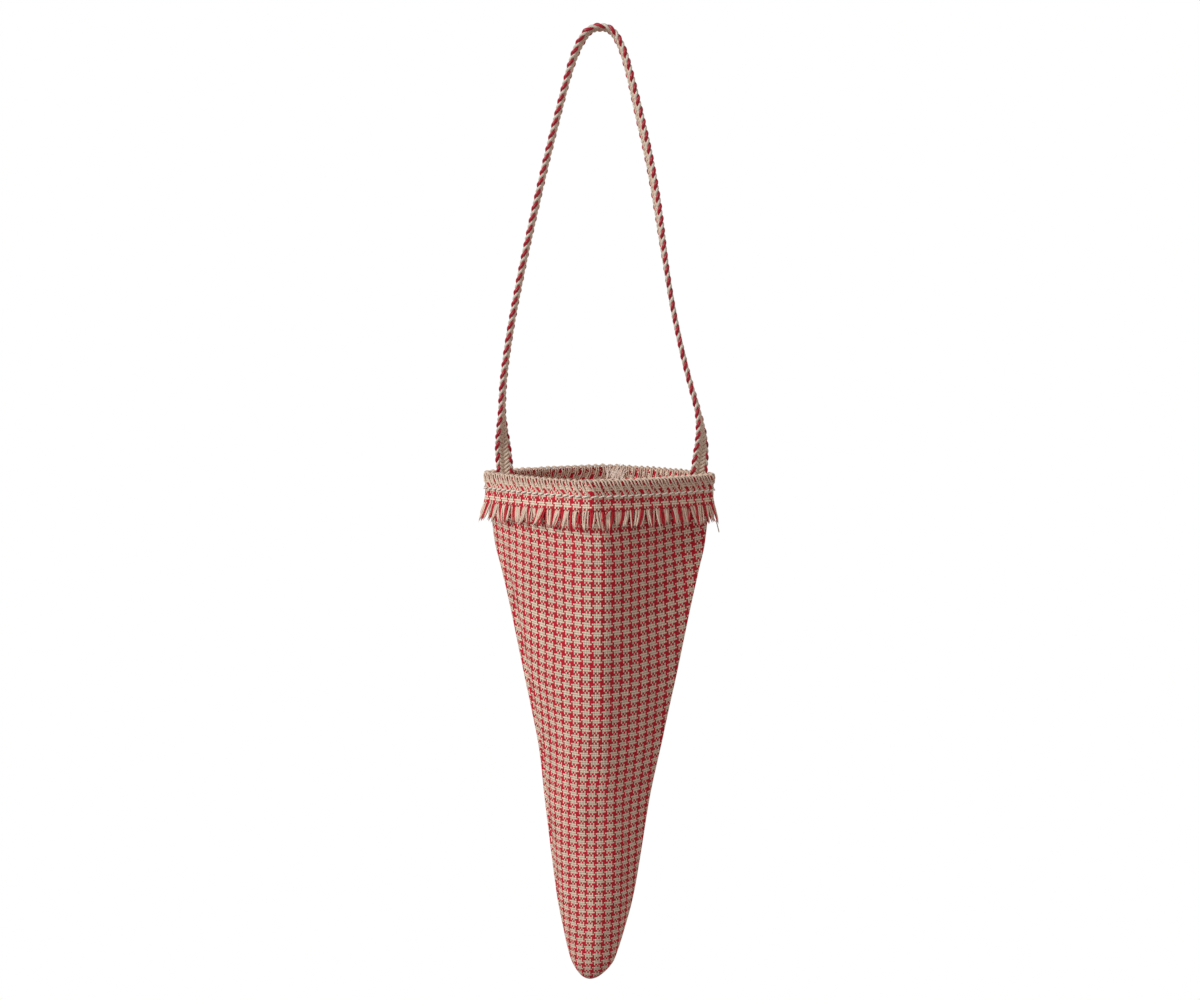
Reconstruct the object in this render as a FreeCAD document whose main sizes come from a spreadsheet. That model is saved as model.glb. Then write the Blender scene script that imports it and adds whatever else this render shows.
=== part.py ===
"""Hanging cone treat bag of gingham cloth on a plaited strap, in millimetres.

The origin is the underside of the strap's arch, where a hook or a twig carries it.
+Z is up, +X is the wearer's right as the front is faced, and the front looks along -Y.
The strap is one body; the cloth cone with everything sewn to it hangs from the strap's feet.
"""

import FreeCAD, Part
import Sketcher
import math
import os

doc = FreeCAD.newDocument("HangingConeBag")

# ---------------------------------------------------------------- driving dimensions
SIZES = [
    ("rim_level", -155.0),  # height of the cloth's raw rim
    ("hinge_level", -151.0),  # where the limp strap bends as the bag rocks
    ("setback", -2.8),  # centre line of the cone, measured along Y from the strap
    ("depth_ratio", 0.78),  # half depth over half width of every section
    ("bow_ratio", 2.6),  # radius of a quarter of the section over its half width
    ("mouth_half_width", 39.2),  # cloth's outside at the rim
    ("rim_taper", 0.105),  # half width lost per mm of drop near the rim
    ("cloth_wall", 1.14),  # cloth's thickness, as a change of half width
    ("cuff_inner", 39.4),  # half widths of the cuff band
    ("cuff_outer", 40.3),
    ("cuff_hem", 40.9),
    ("cuff_straight", 8.0),  # drop at which the cuff starts to stand off
    ("cuff_drop", 10.5),
    ("fringe_hem", 42.2),
    ("fringe_drop", 17.2),
    ("fringe_wall", 1.0),
    ("thread_outer", 41.1),  # overlock thread's outside, outer leg
    ("thread_gap", 0.1),
    ("thread_leg", 0.72),  # overlock thread's thickness, inner leg
    ("thread_drop", 4.6),
    ("thread_cap", 0.3),  # overlock's top above the rim
    ("needle_drop", 4.8),
    ("needle_tall", 1.0),
    ("needle_wall", 0.8),
    ("strap_width", 6.6),
    ("core_width", 2.5),
    ("core_thick", 1.7),
    ("lip_radius", 1.0),
    ("arch_level", 1.0),  # strap's centre line at the top of the arch
    ("end_thick", 1.9),
    ("end_length", 9.6),
    ("end_sunk", 0.3),  # strap end's top below the rim, clear of the swinging strap
    ("end_along", 6.0),  # strap end's middle, measured along the wall from the corner
    ("end_inset", 3.1),  # strap end's middle, measured in from the cloth's outside
    ("tack_length", 5.0),
    ("tack_tall", 1.6),
    ("tack_thick", 0.4),
    ("seam_width", 6.4),
    ("seam_thick", 1.3),
    ("seam_gap", 0.15),
    ("seam_thread", 0.35),
    ("seam_start", 0.6),  # seam strip's near edge, measured along the wall from the back ridge
    ("seam_below", 0.5),  # seam strip's top below the inner needle line
    ("tuft_width", 9.0),
    ("tuft_thick", 1.1),
    ("tuft_tall", 3.0),
    ("tuft_start", 2.5),  # tuft's near edge, measured along the wall from the back ridge
    ("tuft_inset", 2.4),
    ("tuft_drop", 0.4),
    ("yarn_radius", 0.35),
    ("yarn_length", 7.0),
    ("red_yarn_side", 1.6),  # loose red yarn's middle, right of the front ridge
    ("red_yarn_gap", 1.6),  # and in front of the cuff's hem
    ("red_yarn_drop", 11.2),
    ("red_yarn_lean", 18.0),  # degrees from upright, top to the right
    ("natural_yarn_gap", 2.0),  # loose natural yarn's middle, beyond the cuff's hem
    ("natural_yarn_drop", 17.5),
    ("natural_yarn_lean", -8.0),
]

sheet = doc.addObject("Spreadsheet::Sheet", "Sizes")
for row, (alias, value) in enumerate(SIZES, start=1):
    sheet.set(f"A{row}", alias)
    sheet.set(f"B{row}", str(value))
    sheet.setAlias(f"B{row}", alias)

# Sections of the cone: how far each lies below the rim, its half width, and how far it leans in X.
STATIONS = [
    (24.0, 36.7, 0.0),
    (83.0, 23.8, 0.0),
    (116.0, 18.2, -1.4),
    (150.0, 12.8, -1.9),
    (167.0, 8.8, -2.4),
    (174.5, 4.6, -2.9),
    (177.5, 1.3, -3.3),
]
for number, (drop, half, lean) in enumerate(STATIONS, start=1):
    for column, (word, value) in zip("DEF", [("drop", drop), ("half", half), ("lean", lean)]):
        sheet.set(f"{column}{number}", str(value))
        sheet.setAlias(f"{column}{number}", f"station_{word}_{number}")
doc.recompute()


def size(alias):
    """The number in the sheet's cell with this alias."""
    return float(sheet.get(alias))


# ---------------------------------------------------------------- one section of the bag
SQUARE = math.hypot(1.0, size("depth_ratio"))  # chord of a quarter, for a half width of 1


def quarter_arc(start, end, radius):
    """An arc from start to end, anticlockwise about the section's middle."""
    chord = end - start
    across = FreeCAD.Vector(chord.y, -chord.x, 0).normalize()
    sagitta = radius - math.sqrt(radius**2 - (chord.Length / 2) ** 2)
    return Part.Arc(start, (start + end) / 2 + across * sagitta, end)


def section(name, half_width, drop, lean="0"):
    """A sketch of four bowed sides, at a drop below the rim: all three sizes are expressions."""
    sketch = doc.addObject("Sketcher::SketchObject", name)
    half = 30.0  # a size to start from: the expressions below replace it
    deep = half * size("depth_ratio")
    radius = half * size("bow_ratio")
    corners = [
        FreeCAD.Vector(half, 0, 0),
        FreeCAD.Vector(0, deep, 0),
        FreeCAD.Vector(-half, 0, 0),
        FreeCAD.Vector(0, -deep, 0),
    ]
    for i in range(4):
        sketch.addGeometry(quarter_arc(corners[i], corners[(i + 1) % 4], radius), False)
    for i in range(4):
        sketch.addConstraint(Sketcher.Constraint("Coincident", i, 2, (i + 1) % 4, 1))
    sketch.addConstraint(Sketcher.Constraint("PointOnObject", 0, 1, -1))
    sketch.addConstraint(Sketcher.Constraint("PointOnObject", 0, 2, -2))
    sketch.addConstraint(Sketcher.Constraint("Symmetric", 0, 1, 2, 1, -1, 1))
    sketch.addConstraint(Sketcher.Constraint("Symmetric", 0, 2, 2, 2, -1, 1))
    for i in range(1, 4):
        sketch.addConstraint(Sketcher.Constraint("Equal", 0, i))
    named = [("half_width", "DistanceX", half), ("half_depth", "DistanceY", deep)]
    for end, (word, kind, value) in enumerate(named, start=1):
        index = sketch.addConstraint(Sketcher.Constraint(kind, -1, 1, 0, end, value))
        sketch.renameConstraint(index, word)
    index = sketch.addConstraint(Sketcher.Constraint("Radius", 0, radius))
    sketch.renameConstraint(index, "bow")
    sketch.setExpression("Constraints.half_width", half_width)
    sketch.setExpression("Constraints.half_depth", f"({half_width}) * Sizes.depth_ratio")
    sketch.setExpression("Constraints.bow", f"({half_width}) * Sizes.bow_ratio")
    sketch.setExpression("Placement.Base.x", lean)
    sketch.setExpression("Placement.Base.y", "Sizes.setback")
    sketch.setExpression("Placement.Base.z", f"Sizes.rim_level - ({drop})")
    return sketch


def loft(name, sections):
    """A closed solid through the sections, straight from each to the next."""
    solid = doc.addObject("Part::Loft", name)
    solid.Sections = sections
    solid.Solid = True
    solid.Ruled = True
    return solid


def cut(name, base, tool):
    """The base with the tool's shape taken out."""
    result = doc.addObject("Part::Cut", name)
    result.Base = base
    result.Tool = tool
    return result


def ring(name, outside, inside):
    """A closed band between two lofts, each given as (half width, drop) expressions.

    The inside runs on by one millimetre at each end, so the cut leaves no skin.
    """
    outer = loft(f"{name}_outside", [section(f"{name}_o{i}", w, d) for i, (w, d) in enumerate(outside)])
    last = len(inside) - 1
    reach = {0: " - 1", last: " + 1"}
    sketches = [section(f"{name}_i{i}", w, d + reach.get(i, "")) for i, (w, d) in enumerate(inside)]
    return cut(name, outer, loft(f"{name}_inside", sketches))


# ---------------------------------------------------------------- the cloth cone
NEAR_RIM = "Sizes.mouth_half_width - Sizes.rim_taper * ({})"


def cone_sections(name, inset, top):
    """Sections from the rim to the tip, moved in by inset; the first one at the drop given by top."""
    found = [section(f"{name}_0", f"{NEAR_RIM.format(top)} - {inset}", top)]
    for n in range(1, len(STATIONS) + 1):
        half = f"Sizes.station_half_{n} - {inset}"
        found.append(section(f"{name}_{n}", half, f"Sizes.station_drop_{n}", f"Sizes.station_lean_{n}"))
    return found


cone_outside = loft("cone_outside", cone_sections("cone_out", "0", "0"))
# The inside stops short of the tip, where the folded seam fills it.
cone_inside = loft("cone_inside", cone_sections("cone_in", "Sizes.cloth_wall", "-1")[:-1])
cone_cloth = cut("cone_cloth", cone_outside, cone_inside)

# ---------------------------------------------------------------- cuff and its fringe
cuff_band = ring(
    "cuff_band",
    [
        ("Sizes.cuff_outer", "0"),
        ("Sizes.cuff_outer", "Sizes.cuff_straight"),
        ("Sizes.cuff_hem", "Sizes.cuff_drop"),
    ],
    [
        ("Sizes.cuff_inner", "0"),
        ("Sizes.cuff_inner", "Sizes.cuff_straight"),
        ("Sizes.cuff_hem - Sizes.cuff_outer + Sizes.cuff_inner", "Sizes.cuff_drop"),
    ],
)
FRINGE_TOP = "Sizes.cuff_drop + Sizes.thread_gap"
cuff_fringe = ring(
    "cuff_fringe",
    [("Sizes.cuff_hem", FRINGE_TOP), ("Sizes.fringe_hem", "Sizes.fringe_drop")],
    [
        ("Sizes.cuff_hem - Sizes.fringe_wall", FRINGE_TOP),
        ("Sizes.fringe_hem - Sizes.fringe_wall", "Sizes.fringe_drop"),
    ],
)

# ---------------------------------------------------------------- overlock over the rim
# A block with the rim's profile of an upside-down U: a slot takes the cloth and the cuff.
INNER_LEG = f"{NEAR_RIM} - Sizes.cloth_wall - Sizes.thread_gap"
# The cutting blocks run past the thread at both ends, so no skin is left.
leg_drops = [("-2", 0), ("Sizes.thread_drop + 1", 1)]
thread_block = loft(
    "thread_block",
    [
        section("thread_block_0", "Sizes.thread_outer", "-Sizes.thread_cap"),
        section("thread_block_1", "Sizes.thread_outer", "Sizes.thread_drop"),
    ],
)
slot_block = loft(
    "slot_block",
    [
        section("slot_block_0", "Sizes.cuff_outer + Sizes.thread_gap", "-Sizes.thread_gap"),
        section("slot_block_1", "Sizes.cuff_outer + Sizes.thread_gap", "Sizes.thread_drop + 1"),
    ],
)
leg_block = loft(
    "leg_block",
    [section(f"leg_block_{i}", INNER_LEG.format(drop), drop) for drop, i in leg_drops],
)
MOUTH = f"{INNER_LEG} - Sizes.thread_leg"
mouth_block = loft(
    "mouth_block",
    [section(f"mouth_block_{i}", MOUTH.format(drop), drop) for drop, i in leg_drops],
)
thread_slot = cut("thread_slot", slot_block, leg_block)
thread_cup = cut("thread_cup", thread_block, thread_slot)
rim_overlock = cut("rim_overlock", thread_cup, mouth_block)

NEEDLE_END = "Sizes.needle_drop + Sizes.needle_tall"
rim_needle_thread = ring(
    "rim_needle_thread",
    [
        ("Sizes.cuff_outer + Sizes.thread_gap + Sizes.needle_wall", "Sizes.needle_drop"),
        ("Sizes.cuff_outer + Sizes.thread_gap + Sizes.needle_wall", NEEDLE_END),
    ],
    [
        ("Sizes.cuff_outer + Sizes.thread_gap", "Sizes.needle_drop"),
        ("Sizes.cuff_outer + Sizes.thread_gap", NEEDLE_END),
    ],
)
rim_inner_needle_thread = ring(
    "rim_inner_needle_thread",
    [
        (INNER_LEG.format("Sizes.needle_drop"), "Sizes.needle_drop"),
        (INNER_LEG.format(NEEDLE_END), NEEDLE_END),
    ],
    [
        (MOUTH.format("Sizes.needle_drop"), "Sizes.needle_drop"),
        (MOUTH.format(NEEDLE_END), NEEDLE_END),
    ],
)

# ---------------------------------------------------------------- seam down the inside of the back
# The right back wall: how far it turns from X, the way along it from the back ridge, and the way in.
WALL_TURN = math.degrees(math.atan2(size("depth_ratio"), 1.0))
ALONG = FreeCAD.Vector(1 / SQUARE, -size("depth_ratio") / SQUARE, 0)
INWARD = FreeCAD.Vector(-size("depth_ratio") / SQUARE, -1 / SQUARE, 0)


def strip_section(name, thick, inset, half, drop, lean):
    """A rectangle that lies along the right back wall, next to the back ridge."""
    sketch = doc.addObject("Sketcher::SketchObject", name)
    near = size("seam_start")
    far = near + size("seam_width")
    low = inset
    high = inset + thick
    corners = [(near, low), (far, low), (far, high), (near, high)]
    points = [ALONG * along + INWARD * deep for along, deep in corners]
    for i in range(4):
        sketch.addGeometry(Part.LineSegment(points[i], points[(i + 1) % 4]), False)
    for i in range(4):
        sketch.addConstraint(Sketcher.Constraint("Coincident", i, 2, (i + 1) % 4, 1))
    sketch.setExpression("Placement.Base.x", lean)
    sketch.setExpression(
        "Placement.Base.y", f"Sizes.setback + Sizes.depth_ratio * ({half} - Sizes.cloth_wall)"
    )
    sketch.setExpression("Placement.Base.z", f"Sizes.rim_level - ({drop})")
    return sketch


def strip(name, thick, inset):
    """A strip that follows the back wall from just under the inner needle line to near the tip."""
    top = f"{NEEDLE_END} + Sizes.seam_below"
    rows = [(NEAR_RIM.format(top), top, "0")]
    for n in range(1, 5):
        rows.append((f"Sizes.station_half_{n}", f"Sizes.station_drop_{n}", f"Sizes.station_lean_{n}"))
    sketches = [strip_section(f"{name}_{i}", thick, inset, *row) for i, row in enumerate(rows)]
    return loft(name, sketches)


back_seam_allowance = strip("back_seam_allowance", size("seam_thick"), size("seam_gap"))
thread_inset = 2 * size("seam_gap") + size("seam_thick")
back_seam_overlock = strip("back_seam_overlock", size("seam_thread"), thread_inset)


# ---------------------------------------------------------------- sewn strap ends and their tacks
def block(name, length, thick, tall, centre, turn, tilt):
    """A box about its own middle, tilted about its length and then turned about Z."""
    solid = doc.addObject("Part::Box", name)
    for prop, expression in [("Length", length), ("Width", thick), ("Height", tall)]:
        solid.setExpression(prop, expression)
    doc.recompute()
    middle = FreeCAD.Vector(solid.Length.Value / 2, solid.Width.Value / 2, solid.Height.Value / 2)
    rotation = FreeCAD.Rotation(FreeCAD.Vector(0, 0, 1), turn)
    rotation = rotation * FreeCAD.Rotation(FreeCAD.Vector(1, 0, 0), tilt)
    solid.Placement = FreeCAD.Placement(centre - rotation.multVec(middle), rotation)
    return solid


def wall_place(side, along, inset, drop):
    """A point near a back wall, and how far the wall turns from X there.

    It is given along the wall from the corner, in from the cloth's outside, and below the rim.
    """
    half = size("mouth_half_width") - size("rim_taper") * drop
    chord = half * SQUARE
    radius = size("bow_ratio") * half
    bow = along * (chord - along) / (2 * radius)
    point = FreeCAD.Vector(half, 0, 0) - ALONG * along + INWARD * (inset - bow)
    place = FreeCAD.Vector(side * point.x, point.y + size("setback"), size("rim_level") - drop)
    turn = WALL_TURN + math.degrees(math.atan((chord - 2 * along) / (2 * radius)))
    return place, -side * turn


TILT = math.degrees(math.atan(size("rim_taper") * size("depth_ratio") / SQUARE))
for word, side in (("left", -1), ("right", 1)):
    middle_drop = size("end_length") / 2 + size("end_sunk")
    middle, turn = wall_place(side, size("end_along"), size("end_inset"), middle_drop)
    block(
        f"strap_end_{word}",
        "Sizes.strap_width",
        "Sizes.end_thick",
        "Sizes.end_length",
        middle,
        turn,
        TILT,
    )
    half_thicks = (size("end_thick") + size("tack_thick")) / 2
    tack_inset = size("end_inset") + half_thicks + size("thread_gap")
    tack_drop = size("needle_drop") + size("needle_tall") / 2
    middle, turn = wall_place(side, size("end_along"), tack_inset, tack_drop)
    block(
        f"strap_tack_{word}",
        "Sizes.tack_length",
        "Sizes.tack_thick",
        "Sizes.tack_tall",
        middle,
        turn,
        TILT,
    )

# ---------------------------------------------------------------- the frayed end of the seam at the rim
tuft_middle = size("tuft_start") + size("tuft_width") / 2
tuft_along = size("mouth_half_width") * SQUARE - tuft_middle
tuft_place, tuft_turn = wall_place(1, tuft_along, size("tuft_inset"), size("tuft_drop"))
seam_tuft = block(
    "seam_tuft",
    "Sizes.tuft_width",
    "Sizes.tuft_thick",
    "Sizes.tuft_tall",
    tuft_place,
    tuft_turn,
    0.0,
)


# ---------------------------------------------------------------- two loose yarns on the cuff's front
def loose_yarn(name, centre, lean):
    """A short straight yarn that leans in its own wall's plane."""
    yarn = doc.addObject("Part::Cylinder", name)
    yarn.setExpression("Radius", "Sizes.yarn_radius")
    yarn.setExpression("Height", "Sizes.yarn_length")
    rotation = FreeCAD.Rotation(FreeCAD.Vector(0, 1, 0), lean)
    half_length = FreeCAD.Vector(0, 0, size("yarn_length") / 2)
    yarn.Placement = FreeCAD.Placement(centre - rotation.multVec(half_length), rotation)
    return yarn


hem_front = size("setback") - size("cuff_hem") * size("depth_ratio")
red_place = FreeCAD.Vector(
    size("red_yarn_side"),
    hem_front - size("red_yarn_gap"),
    size("rim_level") - size("red_yarn_drop"),
)
loose_yarn("loose_thread_red", red_place, size("red_yarn_lean"))
natural_place = FreeCAD.Vector(
    size("cuff_hem") + size("natural_yarn_gap"),
    size("setback"),
    size("rim_level") - size("natural_yarn_drop"),
)
loose_yarn("loose_thread_natural", natural_place, size("natural_yarn_lean"))

# ---------------------------------------------------------------- the strap's route
# From the left foot over the arch to the right foot, all in the plane of the hook.
LEFT_RUNS = [
    (-34.6, -138.0),
    (-34.3, -120.0),
    (-29.6, -92.0),
    (-21.0, -53.0),
    (-14.2, -26.3),
    (-10.2, -12.0),
    (-7.0, -4.3),
    (-3.2, size("arch_level")),
]
RIGHT_RUNS = [
    (3.4, size("arch_level")),
    (6.9, -4.2),
    (9.6, -11.5),
    (13.3, -26.0),
    (18.6, -53.0),
    (24.7, -92.0),
    (29.6, -118.0),
    (34.7, -138.0),
]
FOOT = 33.6  # half the spread of the two feet
ARC_SHARE = 0.45  # how much of the shorter run each arc takes


def route(foot_level):
    """The route's points, with both feet at the given level."""
    points = [(-FOOT, foot_level)] + LEFT_RUNS + RIGHT_RUNS + [(FOOT, foot_level)]
    return [FreeCAD.Vector(x, 0, z) for x, z in points]


def smooth_path(points):
    """Straight runs joined by tangent arcs; returns the wire and the arcs' radii."""
    edges = []
    radii = []
    at = points[0]
    for before, corner, after in zip(points, points[1:], points[2:]):
        into = corner - before
        out = after - corner
        turn = into.getAngle(out)
        reach = ARC_SHARE * min(into.Length, out.Length)
        radii.append(reach / math.tan(turn / 2))
        start = corner - into.normalize() * reach
        end = corner + out.normalize() * reach
        inward = (out - into).normalize()
        middle = corner + inward * (radii[-1] / math.cos(turn / 2) - radii[-1])
        edges.append(Part.LineSegment(at, start).toShape())
        edges.append(Part.Arc(start, middle, end).toShape())
        at = end
    edges.append(Part.LineSegment(at, points[-1]).toShape())
    return Part.Wire(edges), radii


def spine(name, foot_level):
    """A wire feature that the strap's sections follow."""
    wire, radii = smooth_path(route(foot_level))
    feature = doc.addObject("Part::Feature", name)
    feature.Shape = wire
    print(name, "length", round(wire.Length, 2), "radii", [round(r, 1) for r in radii])
    return feature


def sweep(name, profile, path):
    """The profile carried along the whole path."""
    solid = doc.addObject("Part::Sweep", name)
    solid.Sections = [profile]
    solid.Spine = (path, [f"Edge{i + 1}" for i in range(len(path.Shape.Edges))])
    solid.Solid = True
    solid.Frenet = False
    return solid


# The flat core reaches a little below the hinge; the lips, which stand wider, stop at it.
half_core = size("core_width") / 2
half_strap = size("strap_width") / 2
core_foot = size("hinge_level") - math.sqrt(half_strap**2 - half_core**2)
core_spine = spine("core_spine", core_foot)
lip_spine = spine("lip_spine", size("hinge_level"))


def lip_profile(name, side):
    """The round section of a lip cord, square to the first run and beside the core."""
    start, after = route(size("hinge_level"))[:2]
    lip = doc.addObject("Part::Circle", name)
    lip.setExpression("Radius", "Sizes.lip_radius")
    offset = FreeCAD.Vector(0, side * (half_strap - size("lip_radius")), 0)
    rotation = FreeCAD.Rotation(FreeCAD.Vector(0, 0, 1), after - start)
    lip.Placement = FreeCAD.Placement(start + offset, rotation)
    return lip


def core_profile(name):
    """The core's flat section, square to the first run, as a closed polygon of four edges."""
    start, after = route(core_foot)[:2]
    rotation = FreeCAD.Rotation(FreeCAD.Vector(0, 0, 1), after - start)
    across = size("core_thick") / 2
    corners = [(-across, -half_core), (across, -half_core), (across, half_core), (-across, half_core)]
    points = [start + rotation.multVec(FreeCAD.Vector(x, y, 0)) for x, y in corners]
    profile = doc.addObject("Part::Feature", name)
    profile.Shape = Part.makePolygon(points + points[:1])
    return profile


def beside(name, path, side):
    """The same route, moved along Y for a lip cord."""
    moved = doc.addObject("Part::Feature", name)
    offset = FreeCAD.Vector(0, side * (half_strap - size("lip_radius")), 0)
    moved.Shape = path.Shape.translated(offset)
    return moved


strap_braid_core = sweep("strap_braid_core", core_profile("core_profile"), core_spine)
for word, side in (("front", -1), ("back", 1)):
    profile = lip_profile(f"lip_profile_{word}", side)
    sweep(f"strap_lip_cord_{word}", profile, beside(f"lip_spine_{word}", lip_spine, side))

# ---------------------------------------------------------------- check and write
SUB_PARTS = [
    "strap_braid_core",
    "strap_lip_cord_front",
    "strap_lip_cord_back",
    "strap_end_left",
    "strap_end_right",
    "strap_tack_left",
    "strap_tack_right",
    "cone_cloth",
    "back_seam_allowance",
    "back_seam_overlock",
    "cuff_band",
    "cuff_fringe",
    "rim_overlock",
    "rim_needle_thread",
    "rim_inner_needle_thread",
    "seam_tuft",
    "loose_thread_red",
    "loose_thread_natural",
]

doc.recompute()
for thing in doc.Objects:
    if {"Invalid", "Error"} & set(thing.State):
        raise SystemExit(f"{thing.Name} failed: {thing.State}")

os.makedirs("parts", exist_ok=True)
for name in SUB_PARTS:
    part = doc.getObject(name)
    part.Label = name
    shape = part.Shape
    if shape.isNull() or not shape.isValid() or not shape.Solids:
        raise SystemExit(f"{name} is not a valid solid")
    shape.exportStep(f"parts/{name}.step")
    box = shape.BoundBox
    print(
        f"{name:26s} solids {len(shape.Solids)}  volume {shape.Volume:9.2f}"
        f"  x {box.XMin:7.2f} {box.XMax:7.2f}  y {box.YMin:7.2f} {box.YMax:7.2f}"
        f"  z {box.ZMin:8.2f} {box.ZMax:8.2f}"
    )

lip_area = math.pi * size("lip_radius") ** 2
core_area = size("core_width") * size("core_thick")
expected = {
    "strap_braid_core": core_area * core_spine.Shape.Length,
    "strap_lip_cord_front": lip_area * lip_spine.Shape.Length,
    "strap_lip_cord_back": lip_area * lip_spine.Shape.Length,
}
for name, volume in expected.items():
    found = doc.getObject(name).Shape.Volume
    print(name, "volume", round(found, 2), "section times length", round(volume, 2))
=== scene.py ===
# %% [markdown]
# # A hanging treat bag in gingham
# The bag is a pointed cone of red and natural checked cloth, hung from a loop of
# plaited braid. This lesson dresses the plain model of it: every solid is already
# there, in its place, and each one gets a soft, detailed piece made on top of it.
# The first line loads that model. Nothing is fitted by eye afterwards, because
# the model and the pieces share one frame, measured in metres.

# %% load the model
import math

import bmesh
import bpy
import numpy as np
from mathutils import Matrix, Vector


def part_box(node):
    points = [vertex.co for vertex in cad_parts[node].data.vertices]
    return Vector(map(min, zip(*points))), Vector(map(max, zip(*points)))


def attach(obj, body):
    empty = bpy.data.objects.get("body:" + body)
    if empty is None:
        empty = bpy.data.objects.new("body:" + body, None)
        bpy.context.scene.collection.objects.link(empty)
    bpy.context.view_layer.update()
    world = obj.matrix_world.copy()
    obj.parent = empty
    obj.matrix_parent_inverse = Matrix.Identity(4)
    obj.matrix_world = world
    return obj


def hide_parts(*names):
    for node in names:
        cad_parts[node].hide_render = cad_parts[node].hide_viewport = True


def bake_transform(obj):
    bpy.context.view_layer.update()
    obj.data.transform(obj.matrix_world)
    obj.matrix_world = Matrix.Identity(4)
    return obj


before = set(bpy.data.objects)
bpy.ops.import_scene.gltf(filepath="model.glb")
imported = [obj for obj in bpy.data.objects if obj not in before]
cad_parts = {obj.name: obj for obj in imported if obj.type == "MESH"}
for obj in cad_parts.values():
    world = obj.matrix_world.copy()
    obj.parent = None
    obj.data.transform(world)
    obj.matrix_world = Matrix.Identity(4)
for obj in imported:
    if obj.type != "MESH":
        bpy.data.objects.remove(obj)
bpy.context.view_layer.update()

MM = 0.001
scene = bpy.context.scene
rim_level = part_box("cone_cloth")[1][2] / MM
print("solids:", len(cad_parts), "rim level", round(rim_level, 2), "mm")

# %% [markdown]
# ## The camera
# A camera is an object that carries a lens. It stands two metres off, a little to
# one side and a little above the middle of the bag, so one sees just over the
# front rim to the inside of the back. A long lens from far away keeps the cone
# from bulging towards the viewer.

# %% camera
LOOK_AT = Vector((0, 0, -0.1642))
TURN, RISE, DISTANCE = math.radians(6), math.radians(5.5), 2.0
LENS, SENSOR_WIDTH = 172.4, 36  # in millimetres
camera_data = bpy.data.cameras.new("camera")
camera_data.lens = LENS
camera_data.sensor_width = SENSOR_WIDTH
camera = bpy.data.objects.new("camera", camera_data)
scene.collection.objects.link(camera)
away = Vector((math.sin(TURN) * math.cos(RISE),
               -math.cos(TURN) * math.cos(RISE),
               math.sin(RISE)))
camera.location = LOOK_AT + away * DISTANCE
camera.rotation_euler = (-away).to_track_quat("-Z", "Y").to_euler()
scene.camera = camera
print("camera at", [round(c, 3) for c in camera.location])

# %% [markdown]
# ## Two small tools for shapes
# Hand-made things have few straight lines, so most sizes come as a short table
# that is read smoothly: between two rows the value follows a cubic curve that
# never overshoots. The second tool lays a yarn: a flat grid from
# `bmesh.ops.create_grid` is wrapped round a path, its side edges are merged, and
# its ends are drawn to a point, so the yarn is a closed skin. Its UV map runs once
# round the yarn in u, and in metres along it in v. A whole number added to u
# tells the material which colour the yarn has.

# %% tables read smoothly
def eased(where, knots, values):
    knots = np.asarray(knots, float)
    values = np.asarray(values, float)
    widths = np.diff(knots)
    steps = np.diff(values) / widths
    slopes = np.zeros_like(values)
    slopes[0], slopes[-1] = steps[0], steps[-1]
    same = steps[1:] * steps[:-1] > 0
    slopes[1:-1][same] = 2 * (steps[1:] * steps[:-1])[same] / (steps[1:] + steps[:-1])[same]
    where = np.clip(where, knots[0], knots[-1])
    cell = np.clip(np.searchsorted(knots, where, side="right") - 1, 0, len(widths) - 1)
    width = widths[cell]
    t = (where - knots[cell]) / width
    rise = values[cell + 1] - values[cell]
    bend_in = slopes[cell] * width - rise
    bend_out = rise - slopes[cell + 1] * width
    return values[cell] + t * rise + t * (1 - t) * ((1 - t) * bend_in + t * bend_out)


def read_table(table, where):
    return eased(where, *zip(*table))


def smooth(start, end, where):
    t = np.clip((np.asarray(where, float) - start) / (end - start), 0, 1)
    return t * t * (3 - 2 * t)


def run_along(path):
    """How far along a path each of its points lies."""
    return np.concatenate(([0], np.cumsum(np.linalg.norm(np.diff(path, axis=0), axis=1))))


# %% a yarn along a path
def carried_frames(path):
    along = np.gradient(path, axis=0)
    along /= np.linalg.norm(along, axis=1, keepdims=True)
    steep = abs(along[0][2]) >= 0.9
    start = np.cross(along[0], (1.0, 0.0, 0.0) if steep else (0.0, 0.0, 1.0))
    side = np.empty_like(path)
    side[0] = start / np.linalg.norm(start)
    for k in range(1, len(path)):
        kept = side[k - 1] - along[k] * np.dot(side[k - 1], along[k])
        side[k] = kept / np.linalg.norm(kept)
    return side, np.cross(along, side)


def lay_yarn(bm, path, radius, sides=6, colour=0):
    path = np.asarray(path, float)
    steps = len(path) - 1
    across, over = carried_frames(path)
    radii = np.broadcast_to(np.asarray(radius, float), (len(path),)).copy()
    radii[0] = radii[-1] = 0
    turn = 2 * np.pi * (np.arange(sides + 1) % sides) / sides
    circles = (np.cos(turn)[None, :, None] * across[:, None]
               + np.sin(turn)[None, :, None] * over[:, None])
    rings = path[:, None] + radii[:, None, None] * circles
    length = float(np.linalg.norm(np.diff(path, axis=0), axis=1).sum())
    uv_map = bm.loops.layers.uv.get("yarn") or bm.loops.layers.uv.new("yarn")
    made = bmesh.ops.create_grid(bm, x_segments=sides, y_segments=steps, size=1, calc_uvs=True)
    for face in {face for vert in made["verts"] for face in vert.link_faces}:
        for loop in face.loops:
            u, v = loop[uv_map].uv
            loop[uv_map].uv = (2 * colour + u, v * length)
    for vert in made["verts"]:
        column = round((vert.co.x + 1) / 2 * sides)
        row = round((vert.co.y + 1) / 2 * steps)
        vert.co = rings[row, column]
    bmesh.ops.remove_doubles(bm, verts=made["verts"], dist=1e-9)


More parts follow.
